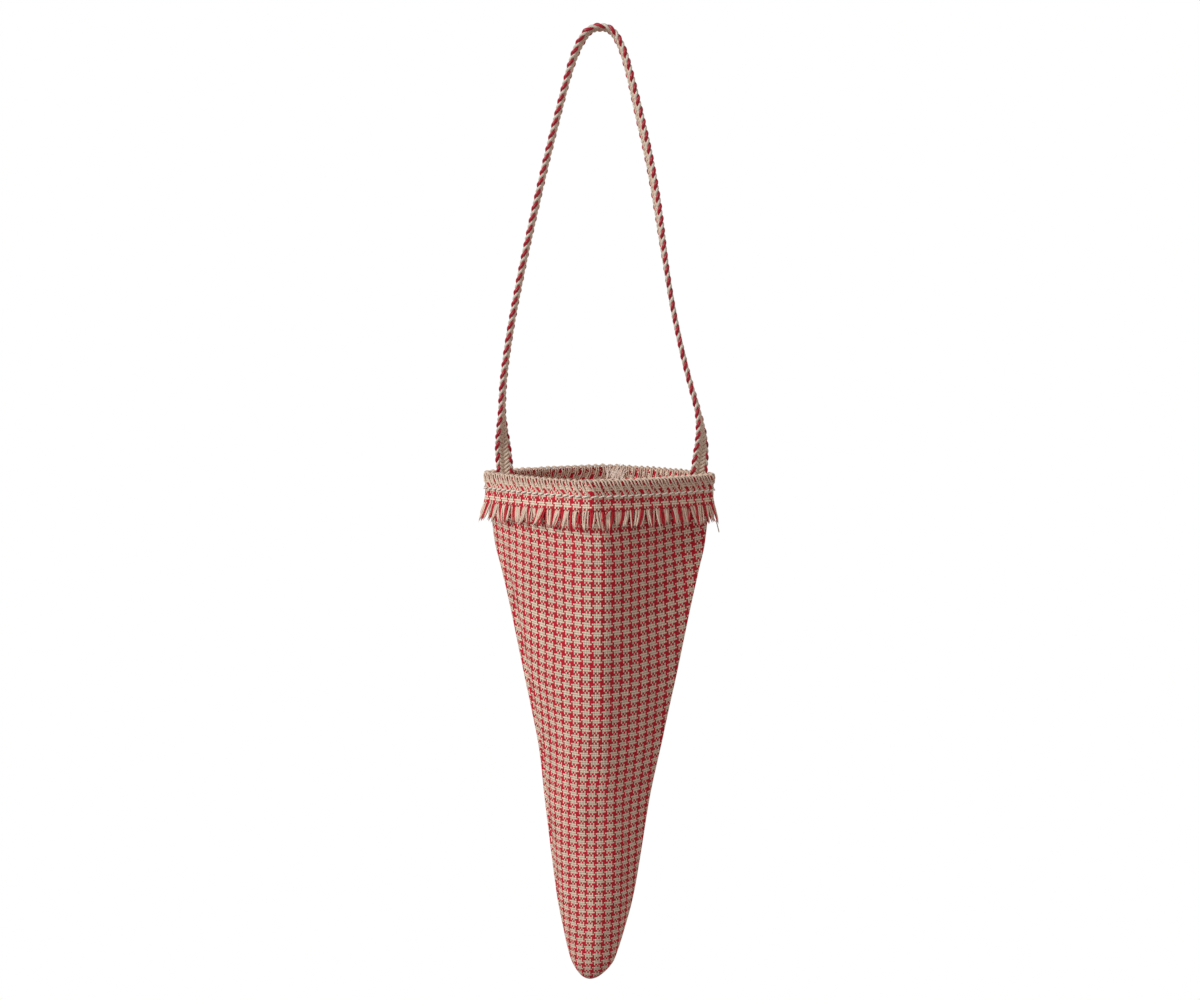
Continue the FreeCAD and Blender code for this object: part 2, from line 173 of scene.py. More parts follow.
# %% from a working mesh to a finished piece
def make_piece(name, bm, material, body, nodes=()):
    mesh = bpy.data.meshes.new(name)
    bm.to_mesh(mesh)
    bm.free()
    mesh.shade_smooth()
    mesh.materials.append(material)
    piece = bpy.data.objects.new(name, mesh)
    scene.collection.objects.link(piece)
    if body == "both":
        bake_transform(piece)
    else:
        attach(piece, body)
    if nodes:
        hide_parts(*nodes)
    print(f"{name}: {len(mesh.polygons)} faces")
    return piece


# %% [markdown]
# ## Finishes
# Two effects are used by many finishes, so each is a shader node group that is
# built once. The first is a plain weave. Every warp end rises over one pick and
# dives under the next, and the picks do the opposite, so both heights are sine
# waves of the place on the cloth, and the higher one is what one sees. Two ends
# in six and two picks in four are red, which makes the little checks. Shade is
# painted into its colour: darker in the gaps between the yarns and lighter on
# their crowns. The second is a twisted yarn: slanting ridges round a thread,
# with painted shade in the grooves between them.

# %% node helpers
def calc(tree, operation, *values):
    node = tree.nodes.new("ShaderNodeMath")
    node.operation = operation
    for socket, value in zip(node.inputs, values):
        if isinstance(value, (int, float)):
            socket.default_value = value
        else:
            tree.links.new(value, socket)
    return node.outputs[0]


def blend_colour(tree, kind, factor, first, second):
    node = tree.nodes.new("ShaderNodeMix")
    node.data_type = "RGBA"
    node.blend_type = kind
    sockets = (node.inputs[0], node.inputs[6], node.inputs[7])
    for socket, value in zip(sockets, (factor, first, second)):
        if isinstance(value, (int, float)):
            socket.default_value = value
        elif isinstance(value, tuple):
            socket.default_value = (*value, 1)
        else:
            tree.links.new(value, socket)
    return node.outputs[2]


def shaded(tree, colour, shade):
    grey = tree.nodes.new("ShaderNodeCombineColor")
    for socket in grey.inputs[:3]:
        tree.links.new(shade, socket)
    return blend_colour(tree, "MULTIPLY", 1.0, colour, grey.outputs[0])


def ramp(tree, value, low, high, to_low, to_high):
    node = tree.nodes.new("ShaderNodeMapRange")
    tree.links.new(value, node.inputs["Value"])
    titles = ("From Min", "From Max", "To Min", "To Max")
    for title, number in zip(titles, (low, high, to_low, to_high)):
        node.inputs[title].default_value = number
    return node.outputs["Result"]


def noise(tree, vector, scale, detail=2.0, rough=0.5):
    node = tree.nodes.new("ShaderNodeTexNoise")
    tree.links.new(vector, node.inputs["Vector"])
    node.inputs["Scale"].default_value = scale
    node.inputs["Detail"].default_value = detail
    node.inputs["Roughness"].default_value = rough
    return node.outputs["Fac"]


def new_group(name, inputs, outputs):
    group = bpy.data.node_groups.new(name, "ShaderNodeTree")
    for title, kind, value in inputs:
        socket = group.interface.new_socket(title, in_out="INPUT", socket_type=kind)
        if value is not None:
            socket.default_value = value
    for title, kind in outputs:
        group.interface.new_socket(title, in_out="OUTPUT", socket_type=kind)
    return group, group.nodes.new("NodeGroupInput"), group.nodes.new("NodeGroupOutput")


# %% the weave
END_EVERY = 0.00062  # metres from one end to the next
BAG_PICK_EVERY, CUFF_PICK_EVERY = 0.000785, 0.000745
ENDS_PER_CHECK, PICKS_PER_CHECK = 6.0, 4.0
RED_END_SHARE, RED_PICK_SHARE = 0.3, 0.45  # wide enough for two of the ends and two of the picks
YARN_SWING = 0.55  # how far a yarn rises and dives; its own half thickness is 1
RED_END_LIFT, RED_PICK_LIFT = 0.6, 0.42  # the red yarns are thicker and stand higher
TALLEST = 1.55


def chance(tree, index, seed):
    node = tree.nodes.new("ShaderNodeTexWhiteNoise")
    node.noise_dimensions = "1D"
    tree.links.new(calc(tree, "ADD", index, seed), node.inputs["W"])
    return node.outputs["Value"]


weave, start, end = new_group(
    "gingham_weave",
    [("Place", "NodeSocketVector", None),
     ("End Spacing", "NodeSocketFloat", END_EVERY),
     ("Pick Spacing", "NodeSocketFloat", BAG_PICK_EVERY),
     ("Red", "NodeSocketColor", None),
     ("Natural", "NodeSocketColor", None)],
    [("Color", "NodeSocketColor"), ("Height", "NodeSocketFloat")])
place = start.outputs["Place"]
split = weave.nodes.new("ShaderNodeSeparateXYZ")
weave.links.new(place, split.inputs[0])


def counted(part, every, scale, reach):
    """A place counted in yarns, once the yarns have wandered a little, reach metres in all."""
    wander = calc(weave, "MULTIPLY_ADD", noise(weave, place, scale), reach, -reach / 2)
    return calc(weave, "DIVIDE", calc(weave, "ADD", part, wander), every)


u = counted(split.outputs[0], start.outputs["End Spacing"], 70, 0.0008)
v = counted(split.outputs[1], start.outputs["Pick Spacing"], 110, 0.0007)
end_number, pick_number = calc(weave, "FLOOR", u), calc(weave, "FLOOR", v)


def yarn_height(along, across, own_number, sign):
    phase = calc(weave, "MULTIPLY", calc(weave, "ADD", along, own_number), math.pi)
    offset = calc(weave, "MULTIPLY_ADD", calc(weave, "FRACT", across), 2.0, -1.0)
    square = calc(weave, "MULTIPLY", offset, offset)
    round_top = calc(weave, "SQRT", calc(weave, "SUBTRACT", 1.0, square))
    return calc(weave, "MULTIPLY_ADD", calc(weave, "SINE", phase), YARN_SWING * sign, round_top)


def is_red(number, repeat, red_share):
    turn = calc(weave, "FRACT", calc(weave, "DIVIDE", number, repeat))
    return calc(weave, "LESS_THAN", turn, red_share)


end_red = is_red(end_number, ENDS_PER_CHECK, RED_END_SHARE)
pick_red = is_red(pick_number, PICKS_PER_CHECK, RED_PICK_SHARE)
end_height = calc(weave, "MULTIPLY_ADD", end_red, RED_END_LIFT,
                  yarn_height(v, u, end_number, 1))
pick_height = calc(weave, "MULTIPLY_ADD", pick_red, RED_PICK_LIFT,
                   yarn_height(u, v, pick_number, -1))
end_on_top = calc(weave, "GREATER_THAN", end_height, pick_height)
top_height = calc(weave, "MAXIMUM", end_height, pick_height)


def picked(first, second):
    node = weave.nodes.new("ShaderNodeMix")
    weave.links.new(end_on_top, node.inputs[0])
    weave.links.new(second, node.inputs[2])
    weave.links.new(first, node.inputs[3])
    return node.outputs[0]


red_here = picked(end_red, pick_red)
own_shade = picked(chance(weave, end_number, 3.7), chance(weave, pick_number, 91.3))
base = blend_colour(weave, "MIX", red_here, start.outputs["Natural"], start.outputs["Red"])
# Painted shade: by the yarn's height, the colour darkens in the gaps between yarns and lightens on
# their crowns. The yarn, fibre and patch shades below are tone that differs at random.
painted_gap_shade = ramp(weave, top_height, 0.6, 1.5, 0.4, 1.14)
yarn_shade = ramp(weave, own_shade, 0.0, 1.0, 0.88, 1.1)
fibre_shade = ramp(weave, noise(weave, place, 5200, 3, 0.7), 0.3, 0.7, 0.93, 1.07)
patch_shade = ramp(weave, noise(weave, place, 45, 2), 0.3, 0.7, 0.96, 1.04)
# The grey that multiplies the colour is the painted gap shade times the random tones.
shade = calc(weave, "MULTIPLY", calc(weave, "MULTIPLY", painted_gap_shade, yarn_shade),
             calc(weave, "MULTIPLY", fibre_shade, patch_shade))
weave.links.new(shaded(weave, base, shade), end.inputs["Color"])
weave.links.new(calc(weave, "DIVIDE", top_height, TALLEST), end.inputs["Height"])
print("weave group:", len(weave.nodes), "nodes")

# %% the twisted yarn
RIDGE_POWER = 0.6  # below 1, so the ridges are round and the grooves narrow
FIBRE_STREAKS = (6, 1500, 1)  # how many round the yarn, and how many to a metre along it
RED_FROM = 1.5  # u stands above this on a yarn of the second colour
twist, start, end = new_group(
    "twisted_yarn",
    [("Place", "NodeSocketVector", None), ("Plies", "NodeSocketFloat", 2.0),
     ("Lay", "NodeSocketFloat", 0.001), ("Groove Shade", "NodeSocketFloat", 0.35)],
    [("Shade", "NodeSocketFloat"), ("Height", "NodeSocketFloat"), ("Red", "NodeSocketFloat")])
split = twist.nodes.new("ShaderNodeSeparateXYZ")
twist.links.new(start.outputs["Place"], split.inputs[0])
lay = calc(twist, "DIVIDE", split.outputs[1], start.outputs["Lay"])
phase = calc(twist, "MULTIPLY_ADD", split.outputs[0], start.outputs["Plies"], lay)
ridge = calc(twist, "ABSOLUTE", calc(twist, "SINE", calc(twist, "MULTIPLY", phase, math.pi)))
round_ridge = calc(twist, "POWER", ridge, RIDGE_POWER)
# Painted shade: the grooves between the plies are darkened by the groove share.
deep = calc(twist, "SUBTRACT", 1.0, start.outputs["Groove Shade"])
painted_groove_shade = calc(twist, "MULTIPLY_ADD", round_ridge, start.outputs["Groove Shade"], deep)
streak = twist.nodes.new("ShaderNodeMapping")
streak.inputs["Scale"].default_value = FIBRE_STREAKS
twist.links.new(start.outputs["Place"], streak.inputs["Vector"])
fibres = ramp(twist, noise(twist, streak.outputs[0], 1.0, 3, 0.7), 0.3, 0.7, 0.9, 1.08)
# Shade is the painted groove shade times the tone of the fibre streaks.
twist.links.new(calc(twist, "MULTIPLY", painted_groove_shade, fibres), end.inputs["Shade"])
twist.links.new(calc(twist, "MULTIPLY", round_ridge, fibres), end.inputs["Height"])
twist.links.new(calc(twist, "GREATER_THAN", split.outputs[0], RED_FROM), end.inputs["Red"])


# %% cloth and yarn finishes
RED = (0.54, 0.020, 0.040)
NATURAL = (0.92, 0.755, 0.60)
SILK_RED, WHITE = (0.50, 0.008, 0.03), (1.0, 0.95, 0.87)
CLOTH_BUMP, YARN_BUMP = (0.00016, 0.8), (0.00008, 0.7)  # depth in metres, strength


def place_node(tree, map_name):
    node = tree.nodes.new("ShaderNodeUVMap")
    node.uv_map = map_name
    return node.outputs[0]


def bumped(tree, shader, height, distance, strength):
    bump = tree.nodes.new("ShaderNodeBump")
    bump.inputs["Distance"].default_value = distance
    bump.inputs["Strength"].default_value = strength
    tree.links.new(height, bump.inputs["Height"])
    tree.links.new(bump.outputs[0], shader.inputs["Normal"])


def new_finish(name, rough, sheen, shine):
    material = bpy.data.materials.new(name)
    material.use_nodes = True
    shader = material.node_tree.nodes["Principled BSDF"]
    shader.inputs["Roughness"].default_value = rough
    shader.inputs["Sheen Weight"].default_value = sheen
    shader.inputs["Sheen Roughness"].default_value = 0.5
    shader.inputs["Specular IOR Level"].default_value = shine
    return material, material.node_tree, shader


def cloth_finish(name, end_spacing, pick_spacing):
    material, tree, shader = new_finish(name, rough=0.9, sheen=0.03, shine=0.1)
    node = tree.nodes.new("ShaderNodeGroup")
    node.node_tree = weave
    tree.links.new(place_node(tree, "cloth"), node.inputs["Place"])
    node.inputs["End Spacing"].default_value = end_spacing
    node.inputs["Pick Spacing"].default_value = pick_spacing
    node.inputs["Red"].default_value = (*RED, 1)
    node.inputs["Natural"].default_value = (*NATURAL, 1)
    tree.links.new(node.outputs["Color"], shader.inputs["Base Color"])
    bumped(tree, shader, node.outputs["Height"], *CLOTH_BUMP)
    return material


# groove sets how dark the painted shade in the grooves between the plies is.
def yarn_finish(name, natural, red, plies, lay, groove, rough=0.8, sheen=0.06, shine=0.15):
    material, tree, shader = new_finish(name, rough, sheen, shine)
    node = tree.nodes.new("ShaderNodeGroup")
    node.node_tree = twist
    tree.links.new(place_node(tree, "yarn"), node.inputs["Place"])
    for title, number in (("Plies", plies), ("Lay", lay), ("Groove Shade", groove)):
        node.inputs[title].default_value = number
    colour = blend_colour(tree, "MIX", node.outputs["Red"], natural, red)
    tree.links.new(shaded(tree, colour, node.outputs["Shade"]), shader.inputs["Base Color"])
    bumped(tree, shader, node.outputs["Height"], *YARN_BUMP)
    return material


BAG_CLOTH = cloth_finish("bag_gingham", END_EVERY, BAG_PICK_EVERY)
CUFF_CLOTH = cloth_finish("cuff_gingham", END_EVERY, CUFF_PICK_EVERY)
BRAID = yarn_finish("braid_cotton", (0.80, 0.66, 0.53), RED,
                    plies=3, lay=0.0012, groove=0.12)
LIP = yarn_finish("lip_rayon", (0.84, 0.78, 0.66), SILK_RED,
                  plies=5, lay=0.0022, groove=0.3, rough=0.36, sheen=0.0, shine=0.5)
OVERLOCK = yarn_finish("overlock_cotton", (0.93, 0.75, 0.61), RED,
                       plies=2, lay=0.0010, groove=0.4)
NEEDLE = yarn_finish("needle_thread", WHITE, RED,
                     plies=2, lay=0.0007, groove=0.05, rough=0.6)
FRINGE = yarn_finish("fringe_cotton", (0.94, 0.76, 0.62), (0.68, 0.04, 0.06),
                     plies=2, lay=0.0013, groove=0.15)
# The frayed tuft is the cloth's natural yarn, painted lighter for the key light that falls on it.
FRAYED_PAINTED_LIGHT = yarn_finish("frayed_cotton_painted_light", (1.0, 0.87, 0.77), RED,
                     plies=2, lay=0.0015, groove=0.08)
RED_YARN = yarn_finish("red_cotton", (0.55, 0.03, 0.05), (0.55, 0.03, 0.05),
                       plies=2, lay=0.0010, groove=0.35)
NATURAL_YARN = yarn_finish("natural_cotton", (0.62, 0.48, 0.37), RED,
                           plies=2, lay=0.0010, groove=0.35)

# %% [markdown]
# ## The hanging strap
# The strap is a flat cotton plait with a glossy two-ply cord along each edge. It
# comes out of the left corner of the mouth, runs up over whatever it hangs on,
# and goes down into the right corner. Its line is one NURBS spline, because a
# cord has no corners: the control points pull it into shape. The strap also
# twists on its way, so its front edge looks left on one leg and right on the other.

# %% the line it follows
STRAP_ROUTE = [
    (-0.0322, -0.0012, -0.1645), (-0.0333, -0.0010, -0.1535), (-0.0345, -0.0004, -0.1380),
    (-0.0338, 0, -0.1200), (-0.0291, 0, -0.0920), (-0.0204, 0, -0.0530), (-0.0137, 0, -0.0263),
    (-0.0098, 0, -0.0120), (-0.0068, 0, -0.0050), (-0.0032, 0, -0.0002), (0.0034, 0, -0.0002),
    (0.0067, 0, -0.0048), (0.0092, 0, -0.0115), (0.0127, 0, -0.0260), (0.0189, 0, -0.0530),
    (0.0242, 0, -0.0920), (0.0298, 0, -0.1180), (0.0360, -0.0016, -0.1380),
    (0.0351, -0.0036, -0.1535), (0.0334, -0.0040, -0.1645),
]


def read_spline(points):
    curve = bpy.data.curves.new("strap_line", "CURVE")
    curve.dimensions = "3D"
    spline = curve.splines.new("NURBS")
    spline.points.add(len(points) - 1)
    for control, place in zip(spline.points, points):
        control.co = (*place, 1)
    spline.order_u = 3
    spline.use_endpoint_u = True
    spline.resolution_u = 24
    holder = bpy.data.objects.new("strap_line", curve)
    scene.collection.objects.link(holder)
    line = bpy.data.meshes.new_from_object(holder)
    places = np.array([vert.co[:] for vert in line.vertices])
    bpy.data.objects.remove(holder)
    bpy.data.meshes.remove(line)
    bpy.data.curves.remove(curve)
    return places


strap_line = read_spline(STRAP_ROUTE)
strap_reach = run_along(strap_line)
STRAP_LENGTH = float(strap_reach[-1])
print("strap length", round(STRAP_LENGTH, 4), "m from", len(strap_line), "points")

# %% how it twists
# Each row: which leg, how high in metres, and the turn of the front edge in degrees.
STRAP_TURN = [
    (-1, -0.1645, -76), (-1, -0.1535, -74), (-1, -0.1465, -58), (-1, -0.1395, -26),
    (-1, -0.1320, -6), (-1, -0.1050, -3), (-1, -0.0600, -4), (-1, -0.0200, -4), (-1, -0.0060, -12),
    (1, -0.0060, -20), (1, -0.0180, -20), (1, -0.0300, -25), (1, -0.0600, -22), (1, -0.0870, -8),
    (1, -0.1180, -4), (1, -0.1320, 0), (1, -0.1385, 16), (1, -0.1440, 38), (1, -0.1500, 60),
    (1, -0.1560, 68), (1, -0.1645, 68),
]
top = int(np.argmax(strap_line[:, 2]))
turn_at = [np.interp(height, strap_line[:top, 2], strap_reach[:top]) if leg < 0
           else np.interp(-height, -strap_line[top:, 2], strap_reach[top:])
           for leg, height, _ in STRAP_TURN]
turn_angle = [math.radians(angle) for *_, angle in STRAP_TURN]


def hang(bm):
    """Bends straight work onto the strap's line: x is edge to edge, y through it, z along it."""
    flat = np.array([vert.co[:] for vert in bm.verts])
    reach = np.clip(flat[:, 2], 0, STRAP_LENGTH)
    ahead = np.gradient(strap_line, strap_reach, axis=0)
    place, along = (np.stack([np.interp(reach, strap_reach, line[:, k]) for k in range(3)], axis=1)
                    for line in (strap_line, ahead))
    along /= np.linalg.norm(along, axis=1, keepdims=True)
    side = np.cross((0.0, 1.0, 0.0), along)
    side /= np.linalg.norm(side, axis=1, keepdims=True)
    back = np.cross(along, side)
    angle = eased(reach, turn_at, turn_angle)[:, None]
    front_edge = np.sin(angle) * side - np.cos(angle) * back
    face = np.cross(along, front_edge)
    hung = place + front_edge * flat[:, :1] + face * flat[:, 1:2]
    for vert, spot in zip(bm.verts, hung):
        vert.co = spot
    bm.normal_update()


# %% [markdown]
# ### The plait
# A flat plait is easiest to make straight, like braid on a bench, and to hang
# afterwards. Each strand swings from edge to edge, and goes over on its way out
# and under on its way back, so both faces show two columns of slanting loops that
# meet in a groove. Five strands, a fifth of a turn apart, make it close.

# %% plaited core
PLAIT_STRANDS, STRAND_RADIUS = 5, 0.54 * MM
PLAIT_TURN, PLAIT_HALF, PLAIT_DEPTH = 6.7 * MM, 1.74 * MM, 0.40 * MM
PLAIT_POINTS, LIP_POINTS = 900, 1100
reach = np.linspace(0, STRAP_LENGTH, PLAIT_POINTS)
bm = bmesh.new()
for strand in range(PLAIT_STRANDS):
    phase = 2 * np.pi * (reach / PLAIT_TURN + strand / PLAIT_STRANDS)
    path = np.stack([PLAIT_HALF * np.sin(phase), PLAIT_DEPTH * np.sin(2 * phase), reach], axis=1)
    lay_yarn(bm, path, STRAND_RADIUS, sides=7)
hang(bm)
plait = make_piece("strap_plait", bm, BRAID, "both",
                   ("strap_braid_core", "strap_end_left", "strap_end_right"))


# %% [markdown]
# ### The edge cords
# Each edge cord is two strands, one glossy red and one cream, twisted round each
# other. The twist of the front one leans right and of the back one left, so the
# pair looks balanced. A helix in the straight layout does this, and the same
# bending carries it along the strap.

# %% twisted edge cords
LIP_PLACE, LIP_RADIUS, LIP_TURN = 2.15 * MM, 0.42 * MM, 4.25 * MM
LIP_STRANDS = (0.48 * MM, 0.60 * MM)
LIP_START = 0.6  # radians round the twist
reach = np.linspace(0, STRAP_LENGTH, LIP_POINTS)
for name, side in (("front", 1), ("back", -1)):
    bm = bmesh.new()
    for colour, radius in enumerate(LIP_STRANDS):
        phase = side * 2 * np.pi * reach / LIP_TURN + math.pi * colour + LIP_START
        path = np.stack([side * LIP_PLACE + LIP_RADIUS * np.cos(phase),
                         LIP_RADIUS * np.sin(phase), reach], axis=1)
        lay_yarn(bm, path, radius, sides=8, colour=colour)
    hang(bm)
    make_piece(f"strap_edge_cord_{name}", bm, LIP, "both",
                           (f"strap_lip_cord_{name}",))

# %% [markdown]
# ### The stitches that hold the strap
# Inside the mouth each end of the strap is caught down with a few passes of
# sewing thread. They are laid out in the same straight space, across the strap.

# %% strap tacks
TACK_PLACE = 3.5 * MM  # from the strap's end to the middle of the stitches
TACK_ROWS, TACK_STEP = 4, 0.9 * MM
for name, middle in (("left", TACK_PLACE), ("right", STRAP_LENGTH - TACK_PLACE)):
    bm = bmesh.new()
    for row in range(TACK_ROWS):
        level = middle + (row - (TACK_ROWS - 1) / 2) * TACK_STEP
        for face in (-1, 1):
            spread = np.linspace(-1, 1, 9)
            lift = face * (0.75 + 0.35 * (1 - spread ** 4)) * MM
            slope = spread * 0.35 * MM * (-1) ** row
            path = np.stack([spread * 2.9 * MM, lift, level + slope], axis=1)
            lay_yarn(bm, path, 0.16 * MM, sides=5)
    hang(bm)
    make_piece(f"strap_stitches_{name}", bm, NEEDLE, "sack",
               (f"strap_tack_{name}",))

# %% [markdown]
# ## The bag
# The bag is one piece of cloth rolled into a cone. Its mouth is a rounded
# diamond, because it was pressed flat once, with a crease down the front. Lower
# down the left side fills out and the right side falls in beside the crease, and
# the point is round. Each level's outline is four Bezier arcs through a dozen
# control points, and four such outlines are blended from the rim to the tip.

# %% outlines, seen from above, in half widths
DEPTH = 0.78
RIM_OUTLINE = [(0, .78), (.397, .601), (.730, .341), (1, 0), (.730, -.341), (.397, -.601),
               (0, -.78), (-.397, -.601), (-.730, -.341), (-1, 0), (-.730, .341), (-.397, .601)]
UPPER_OUTLINE = [(0, .78), (.30, .64), (.80, .12), (.99, -.10), (.64, -.16), (.32, -.60),
                 (.02, -.79), (-.35, -.72), (-.86, -.28), (-1, 0), (-.78, .26), (-.30, .66)]
LOWER_OUTLINE = [(0, .78), (.30, .66), (.80, .20), (1, -.06), (.70, -.27), (.34, -.64),
                 (.02, -.78), (-.38, -.78), (-.92, -.42), (-1, 0), (-.80, .30), (-.30, .68)]
TIP_OUTLINE = [(0, .78), (.552, .78), (1, .43), (1, 0), (1, -.43), (.552, -.78),
               (0, -.78), (-.552, -.78), (-1, -.43), (-1, 0), (-1, .43), (-.552, .78)]
# Each lower outline, and the drops below the rim between which it takes over.
OUTLINE_BLENDS = ((UPPER_OUTLINE, 4, 26), (LOWER_OUTLINE, 44, 74), (TIP_OUTLINE, 90, 162))
# Tables by the drop below the rim, in millimetres.
HALF_WIDTHS = [(0, 39.3), (15, 38.2), (23.8, 37.2), (32, 35.3), (49, 31.4), (66, 27.6),
               (83, 24.0), (99, 21.0), (116, 18.3), (133, 15.7), (150, 12.9), (158, 11.1),
               (166.6, 8.9), (170.8, 7.5), (175, 4.6), (177.5, 0)]
LEANS = [(0, 0), (24, 0.3), (90, 0.2), (116, -1.0), (150, -1.6), (171, -2.3), (177.5, -3.2)]
CREASE_DRIFT = [(0, 0.3), (24, 3.0), (60, 2.4), (116, 0.8), (150, 0.6), (170, 0)]
SETBACK = -2.8
BAG_DEPTH = HALF_WIDTHS[-1][0]
# How far corners are blurred, as a share of the way round.
CORNER_SOFTNESS = 0.0035
CREASE_SOFTNESS = [(0, 0), (14, 0.002), (24, 0.008), (36, 0.017), (80, 0.025), (150, 0.02)]
CREASE_REACH = 0.1
# Waves of the hanging cloth: height, number round the bag, drop per radian, start.
WAVES = ((0.30, 3, 31, 0.4), (0.22, 5, -19, 1.3), (0.15, 8, 12, 2.0))
FOLD_DEPTH, FOLD_SHARE, FOLD_DRIFT, FOLD_WIDTH = 0.9, 0.715, 0.0001, 0.010


def arcs(outline, share):
    outline = np.array(outline, float)
    share = np.asarray(share, float) % 1.0
    quarter = np.minimum((share * 4).astype(int), 3)
    t = (share * 4 - quarter)[:, None]
    a, b, c, d = (outline[(3 * quarter + k) % 12] for k in range(4))
    return (1 - t) ** 3 * a + 3 * t * (1 - t) ** 2 * b + 3 * t * t * (1 - t) * c + t ** 3 * d


def softened(outline, share, crease=0.0):
    weights = ((-2, 1), (-1, 2), (0, 3), (1, 2), (2, 1))
    from_crease = np.asarray(share) % 1.0 - 0.5
    blur = CORNER_SOFTNESS + crease * np.exp(-(from_crease / CREASE_REACH) ** 2)
    return sum(weight * arcs(outline, share + k * blur) for k, weight in weights) / 9


def outline_at(drop, share):
    """The cloth's outer face at one level: x and y in millimetres."""
    crease = float(read_table(CREASE_SOFTNESS, drop))
    shape = softened(RIM_OUTLINE, share)
    for outline, first, last in OUTLINE_BLENDS:
        change = float(smooth(first, last, drop))
        shape = (1 - change) * shape + change * softened(outline, share, crease)
    drops, halves = zip(*HALF_WIDTHS)
    half = math.sqrt(max(float(eased(drop, drops, np.square(halves))), 0))
    plan = shape * half
    forward = np.clip(-shape[:, 1] / DEPTH, 0, 1)
    drift = forward * float(read_table(CREASE_DRIFT, drop)) * min(half / 12, 1)
    plan[:, 0] += float(read_table(LEANS, drop)) + drift
    plan[:, 1] += SETBACK
    return plan


def sway(drop, share):
    """Soft unevenness of hanging cloth, in millimetres, outwards."""
    fade = smooth(15, 45, drop) * smooth(176, 150, drop)
    waves = sum(height * np.sin(2 * np.pi * count * share + drop / fall + start)
                for height, count, fall, start in WAVES)
    fold = -FOLD_DEPTH * np.exp(-((share - FOLD_SHARE - FOLD_DRIFT * drop) / FOLD_WIDTH) ** 2)
    return fade * (waves + fold)


# %% the cone of cloth
AROUND, LEVELS, POINT_LEVELS = 176, 136, 18
POINT_START = 165  # below it the levels crowd towards the point
closing = 1 - np.linspace(0, 1, POINT_LEVELS + 1)[1:]
drops = np.concatenate((np.linspace(0, POINT_START, LEVELS),
                        BAG_DEPTH - (BAG_DEPTH - POINT_START) * closing ** 2))
share = np.linspace(0, 1, AROUND + 1)
levels = []
for drop in drops:
    plan = outline_at(drop, share)
    tangent = np.gradient(np.vstack((plan[-2], plan, plan[1])), axis=0)[1:-1]
    normal = np.stack([-tangent[:, 1], tangent[:, 0]], axis=1)
    normal /= np.maximum(np.linalg.norm(normal, axis=1, keepdims=True), 1e-9)
    shape = plan + normal * np.asarray(sway(drop, share))[:, None]
    shape[-1] = shape[0]
    levels.append(np.column_stack((shape, np.full(len(shape), rim_level - drop))))
levels = np.array(levels)
levels[-1] = levels[-1].mean(axis=0)

# %% [markdown]
# A UV map is the cloth laid flat again. The bag opens into a fan with its point
# at the bottom and the crease straight down the middle, so the warp runs straight
# down the crease and each pick rises a little towards the sides, as it does on
# the real cone. How wide the fan opens follows from how fast the cone narrows.
# One table says how closely the cloth is beaten at each drop: its yarns crowd a
# little towards the point, where the cloth was pushed together.

# %% the cloth laid flat
BEATEN = [(0, 0.97), (55, 0.97), (85, 1.04), (120, 1.11), (152, 1.15), (177.5, 1.15)]
FAN = [(0, 0.28), (24, 0.42), (45, 0.56), (80, 0.59), (130, 0.50), (165, 0.44), (177.5, 0.44)]
middle = AROUND // 2
steps_down = np.linalg.norm(np.diff(levels[:, middle], axis=0), axis=1)
beaten = read_table(BEATEN, drops)
down_crease = np.concatenate(([0], np.cumsum(steps_down * beaten[1:])))
flat_places = np.empty((len(drops), AROUND + 1, 2))
for row, drop in enumerate(drops):
    across = run_along(levels[row])
    across = across[middle] - across
    fan_radius = max(np.abs(across).max(), 1.0) / float(read_table(FAN, drop))
    flat_places[row, :, 0] = fan_radius * np.sin(across / fan_radius) * max(beaten[row], 1)
    flat_places[row, :, 1] = down_crease[row] + fan_radius * (1 - np.cos(across / fan_radius))


def lay_sheet(places, flat):
    """A grid bent to rows of places, with its flat layout as the UV map; both in millimetres."""
    rows, columns = places.shape[0] - 1, places.shape[1] - 1
    bm = bmesh.new()
    uv_map = bm.loops.layers.uv.new("cloth")
    made = bmesh.ops.create_grid(bm, x_segments=columns, y_segments=rows, size=1)
    spots = {vert: (round((1 - vert.co.y) / 2 * rows), round((vert.co.x + 1) / 2 * columns))
             for vert in made["verts"]}
    for face in bm.faces:
        for loop in face.loops:
            loop[uv_map].uv = flat[spots[loop.vert]] * MM
    for vert, spot in spots.items():
        vert.co = places[spot] * MM
    bmesh.ops.remove_doubles(bm, verts=bm.verts, dist=1e-8)
    bm.normal_update()
    widest = max(bm.faces, key=lambda face: face.calc_center_median().x)
    if widest.normal.x < 0:
        bmesh.ops.reverse_faces(bm, faces=bm.faces)
    return bm


def make_cloth(name, places, flat, material, node, thickness, offset=-1):
    """A sheet with a wall: offset -1 grows it inwards, 0 to both sides."""
    piece = make_piece(name, lay_sheet(places, flat), material, "sack", (node,))
    wall = piece.modifiers.new("wall", "SOLIDIFY")
    wall.thickness = thickness * MM
    wall.offset = offset
    return piece


cone = make_cloth("bag_cone", levels, flat_places, BAG_CLOTH, "cone_cloth", 0.5)

# %% [markdown]
# ## The cuff
# A second band of the same cloth goes round the mouth. To sew things to it, one
# needs places on the rim by distance along it, so the rim's outline is measured
# once. A place is then a fraction of the way round from the back seam, a drop
# below the edge, and an outset from the middle of the wall.

